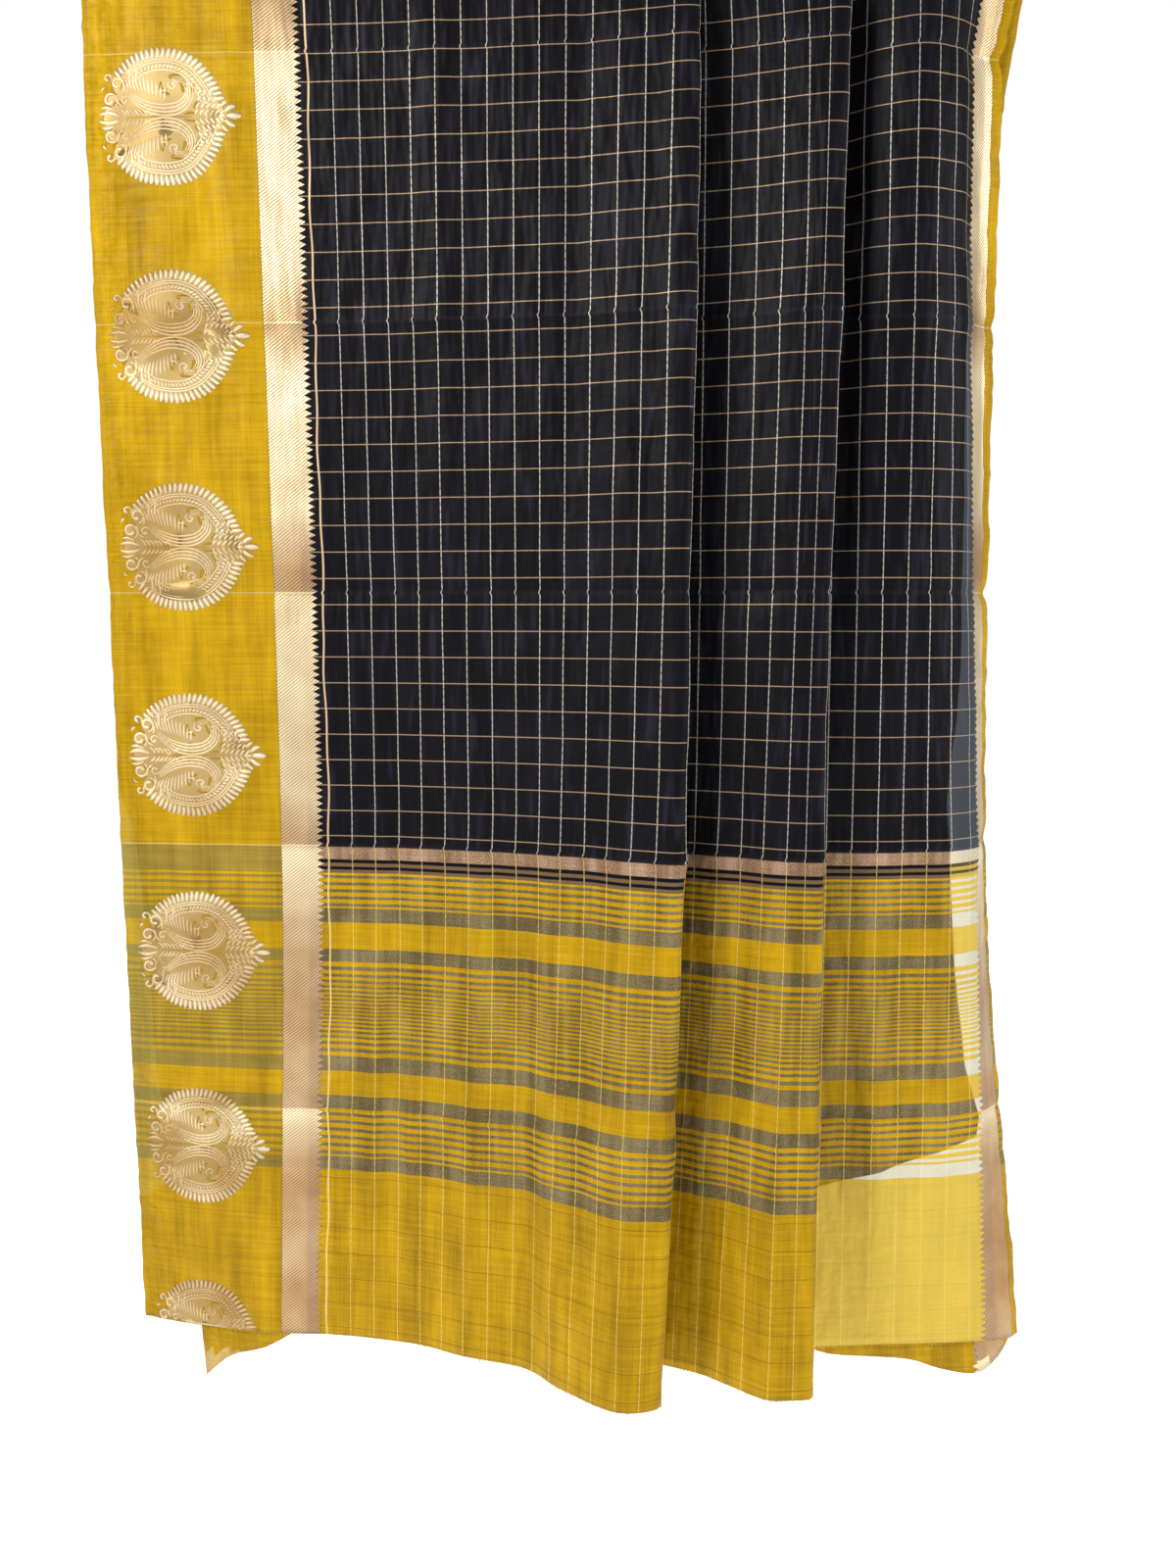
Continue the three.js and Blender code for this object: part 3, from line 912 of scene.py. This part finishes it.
# Darker and brighter copper band: random specks and painted sheen.
COPPER_DARK = (0.19, 0.105, 0.055)
COPPER_LIGHT = (0.52, 0.36, 0.25)
PALLU_WARP = (0.86, 0.66, 0.2)
PALLU_FIRST = (0.8, 0.6, 0.25)
OLIVE_DARK = (0.13, 0.095, 0.012)
OLIVE_LIGHT = (0.3, 0.225, 0.05)
# Painted light showing through one sheer layer.
PALE_YELLOW = (0.8, 0.6, 0.115)
PALE_STRIPE = (0.78, 0.76, 0.6)
PALE_BLUE = (0.5, 0.56, 0.66)
PALE_OLIVE = (0.56, 0.5, 0.14)
ZARI_RIM = (0.2, 0.13, 0.12)
# Painted highlight along the pressed lines.
CREASE_HIGHLIGHT = (0.9, 0.78, 0.5)
WOOD_DARK = (0.17, 0.075, 0.028)
WOOD_LIGHT = (0.4, 0.215, 0.095)


def zari_tones(paint, u, v, painted_fold_highlight, cloud, grain):
    """Metal weave in fine slanting lines, with painted highlights brighter on some folds of the stored
    cloth than on others.
    """
    twill = (((u * 0.75 - v) / 3.1).fract() - 0.5).abs() * 2.0
    # Painted highlight: the painted fold highlight, with random cloud and grain, picks between shaded
    # and bright copies of the metal weave.
    painted_highlight_and_tone = (painted_fold_highlight * 1.0 + (cloud - 0.5) * 0.8 + (grain - 0.5) * 0.3 + 0.06).clamp()
    low = paint.mix(twill, ZARI_DARK, ZARI_TAN)
    high = paint.mix(twill, ZARI_GOLD, ZARI_LIGHT)
    return paint.mix(painted_highlight_and_tone, low, high), painted_highlight_and_tone, twill


def cloth_material(name, end_of_cloth):
    """The whole weave: borders, zari bands, checks and the striped end."""
    paint = Paint(name)
    u, v = paint.uv()
    folds = paint.value("pressed")
    # Painted highlight of the stored folds, a number on the cloth.
    painted_fold_highlight = paint.value("painted_fold_highlight")
    single = paint.value("single").over(0.0, 1.6)

    left_border = u.over(WIDE_BORDER).invert()
    right_border = u.over(NARROW_BORDER)
    border = (left_border + right_border).clamp()
    tooth = ((v / 6.4).fract() * 2.0 - 1.0).abs().invert() * 6.8
    left_band = u.over(WIDE_BORDER) * u.over(tooth + WIDE_ZARI).invert()
    right_band = (u + tooth).over(NARROW_ZARI) * u.over(NARROW_BORDER).invert()
    band = (left_band + right_band).clamp()
    middle = (border + band).clamp().invert()

    in_pallu = v.over(PALLU).invert()
    if end_of_cloth:
        in_pallu = v.over(LENGTH - 260.0)

    slub = paint.noise(u * 0.012, v * 0.42, 3.0, 0.6)
    cloud = paint.noise(u * 0.016, v * 0.016, 3.0, 0.55)
    warp_streak = paint.noise(u * 0.55, v * 0.012, 2.0, 0.6)
    # Noise for painted sheen streaks along the silk.
    sheen_streak_noise = paint.noise(u * 0.040, v * 0.0060, 2.0, 0.55)
    fine_sheen_noise = paint.noise(u * 0.11, v * 0.014, 2.0, 0.5)
    grain = paint.noise(u * 0.9, v * 0.9, 2.0, 0.5)

    # Painted sheen: streaks from the noise and the painted fold highlight lighten the silk, over its own
    # uneven colour from slub, cloud and warp streaks.
    painted_sheen_streaks = (sheen_streak_noise - 0.5) * 3.4 + (fine_sheen_noise - 0.5) * 1.6
    tone_and_painted_sheen = (slub - 0.5) * 0.60 + (cloud - 0.5) * 0.45 + (warp_streak - 0.5) * 0.5
    tone_and_painted_sheen = (tone_and_painted_sheen + painted_sheen_streaks * 0.24 + painted_fold_highlight * 0.12 + 0.44).clamp()
    mustard = paint.mix(tone_and_painted_sheen, MUSTARD_DARK, MUSTARD_LIGHT)
    mustard = paint.mix(0.18, mustard, MUSTARD)

    # Metallic stripes of the pallu, which run on as olive bands across the borders.
    bands = v.between(*WIDE_STRIPES[0])
    for stripe in WIDE_STRIPES[1:]:
        bands = bands + v.between(*stripe)
    fine = ((v - 183.0) / 7.7).fract().near(0.5, 0.21, 0.06) * v.between(184.0, 231.0)
    fine = fine + ((v - 427.5) / 6.8).fract().near(0.5, 0.21, 0.06) * v.between(429.0, 461.5)
    spread = (v - 329.0) / 46.0
    phase = (spread * 1.2247).math("ARCTANGENT") * 10.4
    graded = phase.fract().near(0.5, 0.23, 0.10) * v.between(*GRADED_STRIPES)
    stripes = (bands + fine + graded).clamp()
    dark = v.between(*DARK_LINES[0]) + v.between(*DARK_LINES[1])
    brown = v.between(*BROWN_BAND)
    copper = v.between(*COPPER_BAND)

    # Fine lines of the checks, which jog a little at each pressed line.
    jog = (folds + 0.5).fract().near(0.5, 0.004, 0.016)
    across = u + jog * 1.8
    warp_at = ((across - (FIRST_LINE - WARP_STEP / 2)) / WARP_STEP).fract() * WARP_STEP
    warp_line = warp_at.near(WARP_STEP / 2, 0.42, 0.5)
    # Painted glints: the silver warp lines are brighter in short stretches.
    painted_glint_dash = (v * 0.9 + (u * 0.7).math("FLOOR") * 2.1).math("SINE").over(-0.5, 0.8) * 0.5 + 0.5
    wander = (v * 0.09).math("SINE") * 0.5 + (v * 0.031).math("SINE") * 0.8
    first = (across + wander).near(FIRST_LINE, 0.85, 0.6)
    warp_line = warp_line * painted_glint_dash * u.over(200.0)
    weft_at = ((v - (497.6 - CHECK / 2)) / CHECK).fract() * CHECK
    weft_line = weft_at.near(CHECK / 2, 0.40, 0.5)
    plain_weft = ((v + 4.0) / 25.5).fract() * 25.5
    plain_line = plain_weft.near(12.7, 0.40, 0.4) * v.over(168.0).invert()
    if end_of_cloth:
        plain_line = plain_weft.near(12.7, 0.40, 0.4)

    # Painted sheen on the black: lighter streaks from the sheen noise and along each pressed line, over
    # random cloud.
    sheen = ((fine_sheen_noise - 0.56) * 5.0).clamp() * 0.8 + ((sheen_streak_noise - 0.5) * 2.0).clamp() * 0.4
    black = paint.mix((sheen + (cloud - 0.5) * 0.5 + jog * 0.5).clamp(), BLACK, BLACK_SHEEN)
    body = paint.mix(weft_line * 0.9, black, LINE_GOLD)
    body = paint.mix(warp_line, body, LINE_SILVER)
    body = paint.mix(first, body, CHECK_GOLD)

    # Metal stripes and copper band: random specks and slub, with painted sheen streaks, pick between
    # darker and brighter copies.
    speck = (grain - 0.44) * 3.4
    metal_tone_and_painted_sheen = (speck.clamp() * 0.75 + painted_sheen_streaks * 0.45 + (slub - 0.5) * 0.4 + 0.12).clamp()
    grey = paint.mix(metal_tone_and_painted_sheen, GREY_DARK, GREY_LIGHT)
    pallu = paint.mix(plain_line * 0.62, mustard, PLAIN_LINE)
    pallu = paint.mix(stripes, pallu, grey)
    pallu = paint.mix(brown, pallu, BAND_BROWN)
    pallu = paint.mix(dark.clamp(), pallu, BLACK)
    pallu = paint.mix(copper, pallu, paint.mix(metal_tone_and_painted_sheen, COPPER_DARK, COPPER_LIGHT))
    pallu = paint.mix(warp_line * 0.55, pallu, PALLU_WARP)
    pallu = paint.mix(first * 0.8, pallu, PALLU_FIRST)
    if end_of_cloth:
        pallu = paint.mix(plain_line * 0.5, mustard, END_LINE)
    centre = paint.mix(in_pallu, body, pallu)

    # Where one sheer layer is left, painted light showing through makes the weave paler.
    pale = paint.mix((stripes + copper).clamp() * in_pallu, PALE_YELLOW, PALE_STRIPE)
    pale = paint.mix(in_pallu, PALE_BLUE, pale)
    ease = (in_pallu * 0.46 + 0.085) * (stripes * in_pallu * 0.35 + 1.0)
    centre = paint.mix(single * ease * (dark * in_pallu * 0.8).clamp().invert(), centre, pale)

    olive_bands = stripes + brown * 0.9 + copper * 0.9 + v.between(*GRADED_STRIPES) * 0.25
    edge_olive = (olive_bands * 0.88).clamp() * v.over(600.0).invert()
    side = mustard
    if not end_of_cloth:
        side = paint.mix(edge_olive, mustard, paint.mix(tone_and_painted_sheen, OLIVE_DARK, OLIVE_LIGHT))
        # Painted light showing through the one sheer layer on the left border.
        side = paint.mix(single * u.over(300.0).invert() * 0.14, side, PALE_OLIVE)

    zari, painted_highlight_and_tone, twill = zari_tones(paint, u, v, painted_fold_highlight, cloud, grain)
    # The band's black ground shows more where the painted highlight is weak.
    rim = (u.between(174.0, 192.0, 4.0) + u.between(1118.0, 1136.0, 4.0)).clamp()
    zari = paint.mix(rim * painted_highlight_and_tone.invert() * 0.35, zari, ZARI_RIM)

    colour = paint.mix(border, centre, side)
    colour = paint.mix(band, colour, zari)
    # Painted highlight: a thin bright line along each pressed line on the zari and the borders.
    crease_highlight_line = (folds + 0.5).fract().near(0.5, 0.0020, 0.0024)
    colour = paint.mix(crease_highlight_line * (band * 0.75 + border * 0.25), colour, CREASE_HIGHLIGHT)
    paint.set("Base Color", colour)

    lines = (warp_line + weft_line + first).clamp() * middle
    striped = (stripes + copper).clamp() * in_pallu * middle
    paint.set("Metallic", (band * 0.55 + lines * 0.35 + striped * 0.35).clamp())
    paint.set("Roughness", band * -0.10 + middle * 0.02 + 0.46 + (tone_and_painted_sheen - 0.5) * 0.10)
    paint.set("Sheen Weight", 0.02)
    paint.set("Sheen Roughness", 0.4)
    paint.set("Specular IOR Level", 0.08)

    crumple = paint.noise(u * 0.035, v * 0.05, 2.0, 0.6)
    upright = paint.noise(u * 0.10, v * 0.020, 1.0, 0.5)
    lie = border * 1.0 + u.over(26.0, 24.0).invert() * 1.6 + middle * in_pallu * 0.6 + middle * 0.25
    height = band * (twill * 0.10 + 0.12) + crumple * lie * 2.0 + upright * (middle * 0.8 + 0.3)
    paint.bump(height, 0.0016, 0.9)
    return paint.material


def wood_material():
    """Oiled wood with its grain along the rod."""
    paint = Paint("rod_wood")
    split = paint.node("SeparateXYZ")
    paint.join(paint.node("TexCoord").outputs["Object"], split.inputs[0])
    stretch = paint.node("CombineXYZ")
    for slot, times in enumerate((6.0, 260.0, 260.0)):
        part = Value(paint.tree, split.outputs[slot]) * times
        paint.join(part.socket, stretch.inputs[slot])
    noise = paint.node("TexNoise", Scale=1.0, Detail=4.0)
    paint.join(stretch.outputs[0], noise.inputs["Vector"])
    grain = Value(paint.tree, noise.outputs[0])
    colour = paint.mix(((grain - 0.35) * 2.6).clamp(), WOOD_DARK, WOOD_LIGHT)
    paint.set("Base Color", colour)
    paint.set("Roughness", (grain * 0.25) + 0.32)
    paint.bump(grain, 0.0004, 0.5)
    return paint.material


def gold_material():
    """Metal thread of the medallions, woven in fine slanting lines, with painted highlights."""
    paint = Paint("medallion_zari")
    u, v = paint.uv()
    kind = paint.value("metal")
    hatch = (((u * 0.8 + v) / 1.9).fract() - 0.5).abs() * 2.0
    cloud = paint.noise(u * 0.016, v * 0.016, 3.0, 0.55)
    patch = paint.noise(u * 0.012 + 3.0, v * 0.014, 2.0, 0.5)
    grain = paint.noise(u * 0.8, v * 0.8, 2.0, 0.6)
    painted_fold_highlight = paint.value("painted_fold_highlight")
    # Painted highlight: the painted fold highlight and random patches and grain pick between shaded and
    # bright copies of the gold.
    painted_highlight_and_tone = (painted_fold_highlight * 0.75 + (patch - 0.5) * 1.5 + (cloud - 0.5) * 0.6 + (grain - 0.5) * 0.9 + 0.24).clamp()
    low = paint.mix(hatch, (0.400, 0.245, 0.085), (0.680, 0.460, 0.210))
    high = paint.mix(hatch, (0.760, 0.590, 0.310), (1.000, 0.930, 0.740))
    stroke = paint.mix(painted_highlight_and_tone, low, high)
    ground = paint.mix(painted_highlight_and_tone * 0.7, (0.330, 0.200, 0.050), (0.640, 0.470, 0.200))
    colour = paint.mix(kind.over(0.5, 0.4), ground, stroke)
    colour = paint.mix(kind.over(-0.5, 0.4), MUSTARD, colour)
    paint.set("Base Color", colour)
    paint.set("Metallic", kind.over(-0.5, 0.4) * 0.5)
    paint.set("Roughness", 0.40)
    paint.set("Specular IOR Level", 0.3)
    paint.bump(hatch * 0.7 + grain * 0.3, 0.0003, 0.7)
    return paint.material


def thread_material():
    """Plain silk of the loose threads."""
    paint = Paint("loose_threads")
    paint.set("Base Color", (0.60, 0.40, 0.05))
    paint.set("Roughness", 0.6)
    return paint.material


outer_material = cloth_material("saree_weave", False)
inner_material = cloth_material("saree_inner_weave", True)
for name, shell in shells.items():
    shell.data.materials.append(inner_material if "inner" in name else outer_material)


def make_rod():
    """A turned rod with softly rounded end edges."""
    half = ROD_LENGTH / 2
    turns = np.linspace(0, math.pi / 2, 7)
    profile = [(-half, 0.0), (-half, 6.0), (-half, 12.4)]
    profile += [(-half + 2 - 2 * math.cos(t), 13.0 + 2 * math.sin(t)) for t in turns]
    for x in np.linspace(-half + 20, half - 20, 60):
        profile.append((x, ROD_RADIUS + 0.04 * math.sin(x / 31.0)))
    profile += [(half - 2 + 2 * math.cos(t), 13.0 + 2 * math.sin(t)) for t in turns[::-1]]
    profile += [(half, 12.4), (half, 6.0), (half, 0.0)]
    sides = 64
    points = [(profile[0][0], 0, 0)]
    for x, r in profile[1:-1]:
        for k in range(sides):
            turn = 2 * math.pi * k / sides
            points.append((x, -r * math.cos(turn), r * math.sin(turn)))
    points.append((profile[-1][0], 0, 0))
    faces = []
    rings = len(profile) - 2
    for j in range(rings - 1):
        for k in range(sides):
            a = 1 + j * sides + k
            b = 1 + j * sides + (k + 1) % sides
            faces.append((a, b, b + sides, a + sides))
    mesh = bpy.data.meshes.new("wooden_rod")
    last = len(points) - 1
    for k in range(sides):
        faces.append((0, 1 + (k + 1) % sides, 1 + k))
        base = 1 + (rings - 1) * sides
        faces.append((last, base + k, base + (k + 1) % sides))
    mesh.from_pydata([tuple(c * 0.001 for c in p) for p in points], [], faces)
    for polygon in mesh.polygons:
        polygon.use_smooth = len(polygon.vertices) == 4
    mesh.validate()
    rod = add_object("wooden_rod", mesh)
    rod.data.materials.append(wood_material())
    return rod


gold = gold_material()
for piece in medallions.values():
    piece.data.materials.append(gold)
hem_threads.data.materials.append(thread_material())

rod = make_rod()

STRIPS = ["wide_border", "wide_zari", "field", "narrow_zari", "narrow_border"]
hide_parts("pallu", *[f"front_{s}" for s in STRIPS],
            *[f"over_{s}" for s in STRIPS])
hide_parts(*[f"back_{s}" for s in STRIPS])
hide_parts("inner_over", *[f"inner_front_{s}" for s in STRIPS])
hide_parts(*[f"inner_back_{s}" for s in STRIPS])
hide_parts("rod")
for shell in shells.values():
    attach(shell, "root")
for piece in medallions.values():
    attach(piece, "root")
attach(hem_threads, "root")
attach(rod, "root")


def make_stage():
    """A plain pale floor well below the cloth."""
    mesh = bpy.data.meshes.new("floor")
    size = 12.0
    low = -1.62
    corners = [(-size, -size, low), (size, -size, low), (size, size, low), (-size, size, low)]
    mesh.from_pydata(corners, [], [(0, 1, 2, 3)])
    floor = add_object("floor", mesh)
    paint = Paint("pale_floor")
    paint.set("Base Color", (0.90, 0.90, 0.90))
    paint.set("Roughness", 0.9)
    paint.set("Emission Color", (1.0, 1.0, 1.0))
    paint.set("Emission Strength", 0.68)
    floor.data.materials.append(paint.material)


def add_area(name, place, aim, size, energy, colour):
    """A soft rectangular light turned to a point."""
    light = bpy.data.lights.new(name, "AREA")
    light.shape = "RECTANGLE"
    light.size = size[0]
    light.size_y = size[1]
    light.energy = energy
    light.color = colour
    obj = add_object(name, light)
    obj.location = place
    direction = np.array(aim) - np.array(place)
    yaw = math.atan2(direction[0], -direction[1])
    flat = math.hypot(direction[0], direction[1])
    pitch = math.atan2(-direction[2], flat)
    obj.rotation_euler = (math.pi / 2 - pitch, 0, math.pi + yaw)


make_stage()
world = bpy.data.worlds.new("studio")
world.use_nodes = True
tree = world.node_tree
soft = tree.nodes["Background"]
soft.inputs[0].default_value = (1.0, 0.99, 0.97, 1.0)
soft.inputs[1].default_value = 0.36
seen = tree.nodes.new("ShaderNodeBackground")
seen.inputs[0].default_value = (1.0, 1.0, 1.0, 1.0)
seen.inputs[1].default_value = 1.0
path = tree.nodes.new("ShaderNodeLightPath")
choose = tree.nodes.new("ShaderNodeMixShader")
tree.links.new(path.outputs["Is Camera Ray"], choose.inputs[0])
tree.links.new(soft.outputs[0], choose.inputs[1])
tree.links.new(seen.outputs[0], choose.inputs[2])
tree.links.new(choose.outputs[0], tree.nodes["World Output"].inputs[0])
bpy.context.scene.world = world
add_area("key", (-1.9, -1.9, 0.9), (0.0, 0.0, -0.6), (0.9, 0.9), 64, (1.0, 0.98, 0.94))
add_area("behind", (-0.9, 2.7, 0.7), (0.0, 0.0, -0.7), (1.6, 1.6), 42, (1.0, 0.99, 0.97))
add_area("fill", (2.4, -1.3, 0.0), (0.0, 0.0, -0.7), (0.9, 1.4), 30, (0.97, 0.98, 1.0))

camera_data = bpy.data.cameras.new("camera")
camera_data.lens = 29.25
camera_data.sensor_width = 36.0
camera_data.clip_start = 0.01
camera = add_object("camera", camera_data)
camera.location = (0.040, -1.230, -0.668)
camera.rotation_euler = (math.radians(90 - 7.67), 0, 0)
bpy.context.scene.camera = camera

bpy.context.scene.view_settings.view_transform = "Standard"
